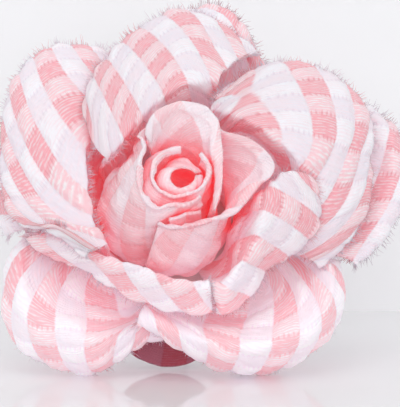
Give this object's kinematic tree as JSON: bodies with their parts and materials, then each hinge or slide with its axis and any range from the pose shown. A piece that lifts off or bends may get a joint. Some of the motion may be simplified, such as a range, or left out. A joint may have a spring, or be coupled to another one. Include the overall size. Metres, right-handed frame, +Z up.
{
  "type": "fabric boutonniere",
  "caption": "Rose-shaped fabric boutonniere of raw-edged gingham petals round a rolled heart, on a felt backing with a straight stick pin.",
  "frame": {"origin": "centre of the bounding box's bottom face, on the table that the flower stands on", "axes": "+X to the viewer's right, +Y away from the viewer, +Z up; the flower faces -Y and leans 26 degrees upward"},
  "size_m": [0.0972, 0.1006, 0.0848],
  "materials": {
    "gingham_cloth": "puckered pink and white gingham, soft and matt, with frayed raw edges",
    "felt_backing": "white wool felt, matt",
    "pin_steel": "polished nickel-plated wire"
  },
  "bodies": {
    "root": {"backing": "felt_backing", "pin": "pin_steel", "core": "gingham_cloth", "heart_wrap": "gingham_cloth", "left_wrap": "gingham_cloth", "low_wrap": "gingham_cloth", "tall_wrap": "gingham_cloth", "right_wrap": "gingham_cloth", "petal_left": "gingham_cloth", "petal_low_left": "gingham_cloth", "petal_top": "gingham_cloth", "petal_right": "gingham_cloth", "petal_low_right": "gingham_cloth", "outer_low_left": "gingham_cloth", "outer_low_right": "gingham_cloth", "outer_right": "gingham_cloth", "outer_top": "gingham_cloth", "outer_left": "gingham_cloth", "under_petal": "gingham_cloth"}
  },
  "joints": []
}
